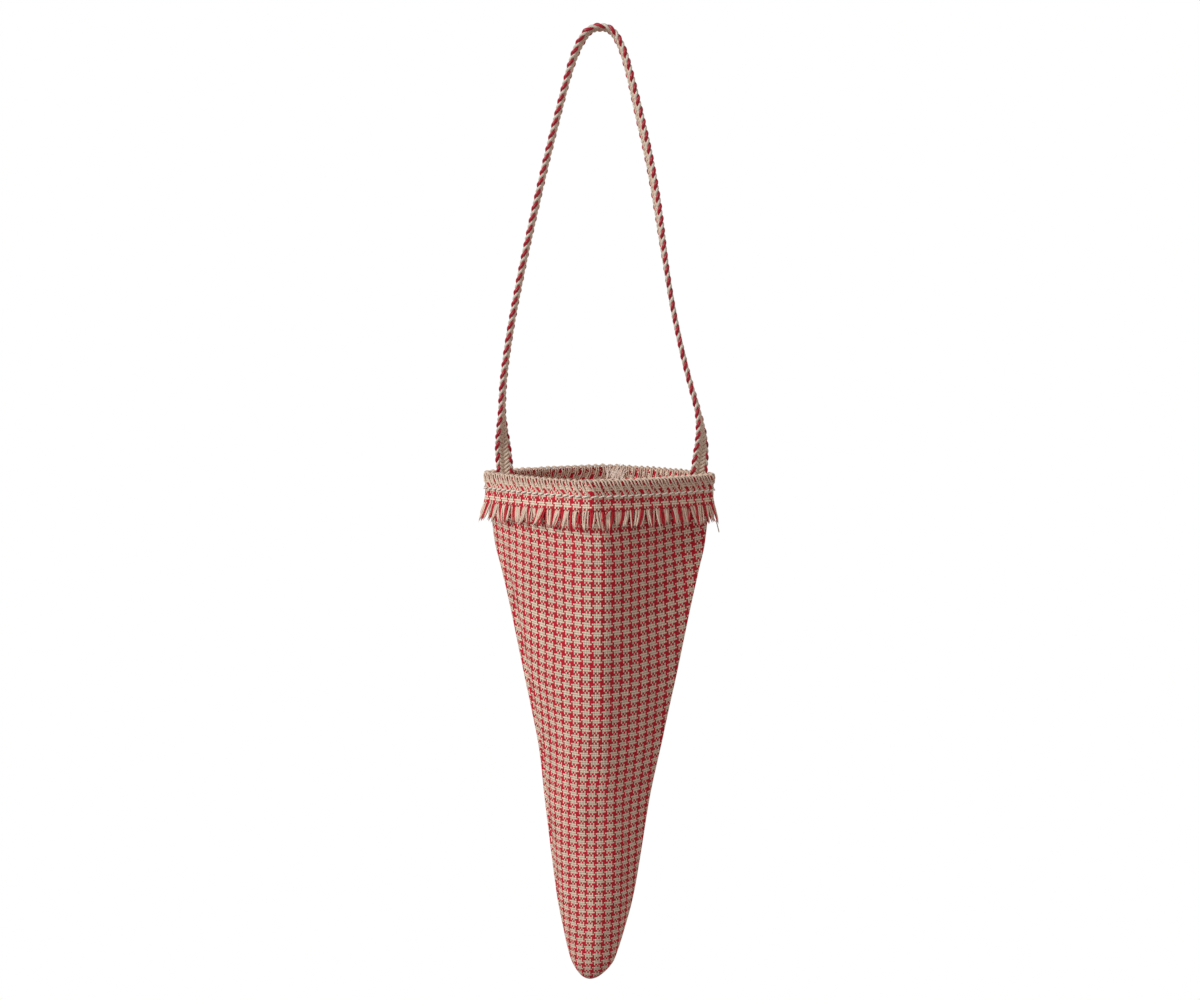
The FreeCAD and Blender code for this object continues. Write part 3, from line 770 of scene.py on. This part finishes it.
# %% places on the rim
RIM_HALF = 39.75
fine = np.linspace(0, 1, 4001)
rim_unit = softened(RIM_OUTLINE, fine)
rim_run = run_along(rim_unit)
RIM_LENGTH = rim_run[-1] * RIM_HALF
rim_share = rim_run / rim_run[-1]
rim_tangent = np.gradient(rim_unit, rim_share, axis=0)
rim_normal = np.stack([-rim_tangent[:, 1], rim_tangent[:, 0]], axis=1)
rim_normal /= np.linalg.norm(rim_normal, axis=1, keepdims=True)
print("round the rim:", round(RIM_LENGTH, 1), "mm")


def on_rim(fraction, drop, outset):
    """Places in millimetres. The three may be numbers or arrays of one length."""
    fraction, drop, outset = np.broadcast_arrays(np.asarray(fraction, float), drop, outset)
    where = fraction % 1.0
    flat = [np.interp(where, rim_share, rim_unit[:, k]) * RIM_HALF
            + np.interp(where, rim_share, rim_normal[:, k]) * outset for k in range(2)]
    return np.stack([flat[0], flat[1] + SETBACK, rim_level - drop], axis=-1)


def rightwards(fraction, distance):
    """A step to the right as seen from outside, in millimetres along the rim."""
    return fraction - distance / RIM_LENGTH


# %% the cuff band
CUFF_TOP, CUFF_DROP, CUFF_WALL = 0.1, 10.1, 0.7
around = np.linspace(0, 1, 221)
cuff_drops = np.linspace(CUFF_TOP, CUFF_DROP, 12)
cuff_out = 0.55 + 0.55 * smooth(7, 11, cuff_drops)
ripple = 0.12 * np.sin(2 * np.pi * 23 * around) + 0.1 * np.sin(2 * np.pi * 9 * around + 1)
cuff_places = np.array([on_rim(around, drop, out + ripple * drop / CUFF_DROP)
                        for drop, out in zip(cuff_drops, cuff_out)])
cuff_flat = np.array([np.column_stack(((0.5 - around) * RIM_LENGTH, np.full(len(around), drop)))
                      for drop in cuff_drops])
cuff = make_cloth("cuff_band_cloth", cuff_places, cuff_flat, CUFF_CLOTH, "cuff_band", CUFF_WALL)

# %% [markdown]
# ## The fringe
# Below the cuff's last pick nothing holds the warp, so its ends hang free. They
# are the cuff's own ends, but a freed yarn opens, so there are more and finer
# strands here than in the weave: one every 0.465 mm, three red, then five
# natural. Where they were combed together by wear they lean in small bunches, so
# each yarn's tip moves towards the middle of its bunch. Everything random has a
# fixed seed.

# %% loosened yarns
rng = np.random.default_rng(41)
END_SPACING, FRINGE_REPEAT, FRINGE_RED = 0.465, 8, 3
FRINGE_LENGTH, FRINGE_ROOT = 6.1, 1.2  # below the cuff's hem, and hidden inside it
FRINGE_RADII = np.array([0.23, 0.25, 0.27, 0.28, 0.24, 0.08]) * MM
fringe_count = int(RIM_LENGTH / END_SPACING)
bunch_of, bunches = [], []
while len(bunch_of) < fringe_count:
    size = int(rng.integers(4, 10))
    centre = len(bunch_of) + size / 2
    bunches.append((centre, rng.normal(0, 1.3), rng.uniform(0.2, 0.7), rng.uniform(-0.4, 0.5)))
    bunch_of += [len(bunches) - 1] * size
bm = bmesh.new()
sweep = np.linspace(0, 1, len(FRINGE_RADII))
for yarn in range(fringe_count):
    number = yarn - fringe_count // 2
    root = 0.5 - (number + 0.5) * END_SPACING / RIM_LENGTH
    centre, lean, gather, lift = bunches[bunch_of[yarn]]
    drift = (centre - yarn) * END_SPACING * gather + lean + rng.normal(0, 0.22)
    length = FRINGE_LENGTH + 0.7 * lift + rng.normal(0, 0.35)
    bulge = rng.normal(0, 0.25)
    fraction = rightwards(root, drift * sweep ** 1.6 + bulge * np.sin(np.pi * sweep))
    corner = abs(on_rim(root, 0, 0)[0]) / RIM_HALF
    stand_off = 0.75 + 1.1 * corner ** 3 + rng.normal(0, 0.25) + lift
    flare = 0.4 + 0.5 * smooth(0, 0.3, sweep) + stand_off * sweep ** 1.3
    path = on_rim(fraction, CUFF_DROP - FRINGE_ROOT + (length + FRINGE_ROOT) * sweep, flare)
    colour = int(number % FRINGE_REPEAT < FRINGE_RED)
    lay_yarn(bm, path * MM, FRINGE_RADII, sides=6, colour=colour)
fringe = make_piece("cuff_fringe_yarns", bm, FRINGE, "sack", ("cuff_fringe",))

# %% [markdown]
# ## The overlocked rim
# An overlock machine trims an edge and throws thread over it. On the outside
# every stitch shows one slanting strand and one steep one, they cross the edge in
# a small chain, and come down on the inside to the needle line.

# %% looper threads over the edge
STITCHES = 76
STITCH = RIM_LENGTH / STITCHES
# Each row: where the strand crosses the edge, its slant outside and where it ends
# inside, all in stitches.
LOOPER_STRANDS = ((0.0, 1.7, 0.50), (0.45, 0.9, 0.78))
LEGS = [0, 0.38, 0.46, 0.54, 0.62, 1]  # up the outside, over the edge, down the inside
rng = np.random.default_rng(7)
bm = bmesh.new()
trip = np.linspace(0, 1, 15)
looper_radii = np.interp(trip, [0, 0.5, 0.62, 1], [0.30, 0.29, 0.21, 0.19]) * MM
outset = eased(trip, LEGS, [0.5, 1.0, 0.55, -0.75, -1.3, -0.9])
for stitch in range(STITCHES):
    home = (stitch + 0.5) / STITCHES
    for shift, slant, inner in LOOPER_STRANDS:
        wobble = rng.normal(0, 0.09, 4)
        drop = eased(trip, LEGS, [5.0 + wobble[0], 0.5, -0.5, -0.5, 0.5, 4.6 + wobble[1]])
        move = eased(trip, LEGS, [shift + slant, shift + 0.12, shift, shift, shift * 0.6,
                                  inner + wobble[2]])
        path = on_rim(rightwards(home, STITCH * (move + 0.2 * wobble[3])), drop, outset)
        lay_yarn(bm, path * MM, looper_radii, sides=6)

# %% the chain along the edge
CHAIN_RADIUS = 0.33
turns = np.linspace(0, 1, STITCHES * 10 + 1)
unsteady = 1 + 0.25 * np.interp(turns, np.linspace(0, 1, 120), rng.normal(0, 1, 120))
phase = 2 * np.pi * turns * STITCHES
chain_drop = -0.35 - 0.38 * unsteady * np.sin(phase)
path = on_rim(turns + 0.0012 * np.sin(2 * phase), chain_drop, -0.1 + 0.8 * np.cos(phase))
lay_yarn(bm, path * MM, CHAIN_RADIUS * MM, sides=6)
make_piece("rim_overlock_thread", bm, OVERLOCK, "sack", ("rim_overlock",))

# %% the needle lines, outside and inside
NEEDLE_SPAN, NEEDLE_SLANT, NEEDLE_RADIUS = 0.44, 0.34, 0.27
for name, node, level, out, lean in (("outside", "rim_needle_thread", 4.9, 0.95, 1),
                                     ("inside", "rim_inner_needle_thread", 4.6, -1.35, -1)):
    bm = bmesh.new()
    span = np.linspace(-1, 1, 8)
    for stitch in range(STITCHES):
        home = (stitch + 0.5) / STITCHES
        path = on_rim(rightwards(home, span * NEEDLE_SPAN * STITCH),
                      level - lean * NEEDLE_SLANT * span, out + 0.16 * (1 - span ** 2))
        lay_yarn(bm, path * MM, NEEDLE_RADIUS * MM, sides=6)
    make_piece(f"needle_line_{name}", bm, NEEDLE, "sack", (node,))

# %% [markdown]
# ## The back seam
# The cloth was joined down the back. Inside, the two edges lie to one side as one
# narrow strip, overlocked along its free edge, and its end frays out at the rim.

# %% seam allowance
SEAM_WIDTH, SEAM_TOP, SEAM_FOOT, SEAM_WALL = 6.0, 8.5, 149, 0.9
seam_drops = np.linspace(SEAM_TOP, SEAM_FOOT, 90)
strip_across = np.linspace(0, 1, 7)


def seam_share(drop):
    """How much of the strip's full width is left at each drop."""
    return np.minimum(1, (178 - drop) / 60 + 0.35)


def inside_seam(drop, across, gap):
    """Places beside the back seam, across mm to the right of it, gap mm inside the cloth."""
    near = np.linspace(0, 0.24, 60)
    plan = outline_at(drop, near)
    run = run_along(plan) - 0.5
    tangent = np.gradient(plan, axis=0)
    normal = np.stack([-tangent[:, 1], tangent[:, 0]], axis=1)
    normal /= np.linalg.norm(normal, axis=1, keepdims=True)
    flat = [np.interp(across, run, plan[:, k]) - np.interp(across, run, normal[:, k]) * gap
            for k in range(2)]
    return np.stack([*flat, np.full_like(flat[0], rim_level - drop)], axis=-1)


seam_places = np.array([inside_seam(drop, strip_across * SEAM_WIDTH * seam_share(drop),
                                    1.05 + 0.25 * np.sin(drop / 6) ** 2 + 0.5 * strip_across)
                        for drop in seam_drops])
seam_flat = np.array([np.column_stack((strip_across * SEAM_WIDTH, np.full(len(strip_across), drop)))
                      for drop in seam_drops])
make_cloth("back_seam_strip", seam_places, seam_flat, BAG_CLOTH, "back_seam_allowance",
           SEAM_WALL, offset=0)

# %% overlock along the allowance
SEAM_STITCHES, SEAM_THREAD = 52, 0.26
bm = bmesh.new()
turns = np.linspace(0, 1, 901)
drop_line = 9.5 + 138 * turns
phase = 2 * np.pi * turns * SEAM_STITCHES
reach_across = SEAM_WIDTH * seam_share(drop_line)
path = np.array([inside_seam(drop, np.array([far * (0.72 + 0.33 * math.sin(angle))]),
                             1.6 + 0.65 * math.cos(angle))[0]
                 for drop, far, angle in zip(drop_line, reach_across, phase)])
lay_yarn(bm, path * MM, SEAM_THREAD * MM, sides=6)
make_piece("back_seam_overlock_thread", bm, OVERLOCK, "sack",
           ("back_seam_overlock",))

# %% the frayed tuft
TUFT_YARNS = 46
rng = np.random.default_rng(12)
bm = bmesh.new()
rise = np.linspace(0, 1, 9)
for yarn in range(TUFT_YARNS):
    foot = rng.uniform(-0.5, 7.5)
    spread = rng.normal(0.6, 1.3)
    tall = rng.uniform(-0.6, 1.6) * (1 - abs(foot - 3.5) / 7)
    low = rng.uniform(3.0, 5.2)
    depth_in = rng.uniform(1.7, 2.3)
    drop = low - (low + tall) * rise ** rng.uniform(0.7, 1.3)
    path = on_rim((foot + spread * rise + 0.3 * np.sin(rise * 6 + yarn)) / RIM_LENGTH, drop,
                  -depth_in + rng.uniform(0.2, 2.0) * rise ** 2)
    lay_yarn(bm, path * MM, rng.uniform(0.2, 0.36) * MM * np.linspace(1, 0.45, 9), sides=6)
make_piece("seam_end_tuft", bm, FRAYED_PAINTED_LIGHT, "sack", ("seam_tuft",))

# %% [markdown]
# ## Two stray yarns
# A red end has worked loose on the front of the cuff, and a natural one hangs off
# the fringe at the right corner. Small faults like these are what make sewn work
# look real.

# %% stray yarns
RED_RADIUS, NATURAL_RADIUS = 0.24, 0.17
t = np.linspace(0, 1, 14)
bm = bmesh.new()
path = on_rim(rightwards(0.5, 2.9 + 4.6 * t), 14.2 - 6.6 * t, 1.25 + 0.5 * np.sin(np.pi * t))
lay_yarn(bm, path * MM, RED_RADIUS * MM, sides=6)
make_piece("stray_yarn_red", bm, RED_YARN, "sack", ("loose_thread_red",))
bm = bmesh.new()
path = on_rim(0.25 + 0.4 * t / RIM_LENGTH, 15.4 + 4.4 * t, 1.4 + 1.7 * t - 0.3 * t * t)
lay_yarn(bm, path * MM, NATURAL_RADIUS * MM, sides=6)
make_piece("stray_yarn_natural", bm, NATURAL_YARN, "sack",
           ("loose_thread_natural",))

# %% [markdown]
# ## Stage and light
# The bag hangs in front of a plain pale sweep. A large soft light stands high on
# the left, so the left wall is bright and the right one falls into soft shade. A
# faint warm one behind on the right draws out that edge, and the even light of the
# world fills the rest. The sweep and the world look clean white to the camera,
# while the bag gets a dull grey bounce from the one and a warm light from the other.

# %% sweep
FLOOR, WALL, WALL_TOP, BEND = -2.4, 3.0, 2.6, 0.6
FRONT, HALF_SWEEP = -3.0, 3.4


def white_to_camera(tree, real, clean, output):
    """Shows the camera one shader, and everything that light does the other."""
    choose = tree.nodes.new("ShaderNodeMixShader")
    rays = tree.nodes.new("ShaderNodeLightPath")
    tree.links.new(rays.outputs["Is Camera Ray"], choose.inputs[0])
    tree.links.new(real.outputs[0], choose.inputs[1])
    tree.links.new(clean.outputs[0], choose.inputs[2])
    tree.links.new(choose.outputs[0], tree.nodes[output].inputs["Surface"])


bm = bmesh.new()
profile = [Vector((0, FRONT, FLOOR)), Vector((0, WALL - BEND, FLOOR))]
profile += [Vector((0, WALL - BEND + BEND * math.sin(a), FLOOR + BEND - BEND * math.cos(a)))
            for a in np.radians(range(10, 91, 10))]
profile += [Vector((0, WALL, WALL_TOP))]
rows = [bm.verts.new(place + Vector((-HALF_SWEEP, 0, 0))) for place in profile]
edges = [bm.edges.new(pair) for pair in zip(rows, rows[1:])]
swept = bmesh.ops.extrude_edge_only(bm, edges=edges)["geom"]
bmesh.ops.translate(bm, vec=(2 * HALF_SWEEP, 0, 0),
                    verts=[part for part in swept if isinstance(part, bmesh.types.BMVert)])
bmesh.ops.recalc_face_normals(bm, faces=bm.faces)
mesh = bpy.data.meshes.new("sweep")
bm.to_mesh(mesh)
bm.free()
mesh.shade_smooth()
sweep_paper = bpy.data.materials.new("sweep_paper")
sweep_paper.use_nodes = True
tree = sweep_paper.node_tree
dull = tree.nodes["Principled BSDF"]
dull.inputs["Base Color"].default_value = (0.55, 0.55, 0.55, 1)
dull.inputs["Roughness"].default_value = 1
clean = tree.nodes.new("ShaderNodeEmission")
clean.inputs["Color"].default_value = (1, 1, 1, 1)
white_to_camera(tree, dull, clean, "Material Output")
mesh.materials.append(sweep_paper)
sweep_object = bpy.data.objects.new("sweep", mesh)
scene.collection.objects.link(sweep_object)


# %% lights
def soft_light(name, place, size, power, colour):
    data = bpy.data.lights.new(name, "AREA")
    data.shape = "DISK"
    data.size = size
    data.energy = power
    data.color = colour
    lamp = bpy.data.objects.new(name, data)
    lamp.location = place
    lamp.rotation_euler = (Vector(place) - LOOK_AT).to_track_quat("Z", "Y").to_euler()
    lamp.visible_camera = False
    scene.collection.objects.link(lamp)


soft_light("key", (-1.55, -1.33, 0.85), 1.1, 33.5, (0.93, 0.97, 0.965))
soft_light("edge", (1.5, 1.2, 0.5), 1.2, 7, (1.0, 0.93, 0.88))
world = bpy.data.worlds.new("room")
world.use_nodes = True
tree = world.node_tree
fill = tree.nodes["Background"]
fill.inputs["Color"].default_value = (1.0, 0.84, 0.79, 1)
fill.inputs["Strength"].default_value = 0.375
plain = tree.nodes.new("ShaderNodeBackground")
plain.inputs["Color"].default_value = (1, 1, 1, 1)
white_to_camera(tree, fill, plain, "World Output")
scene.world = world
scene.view_settings.view_transform = "Standard"
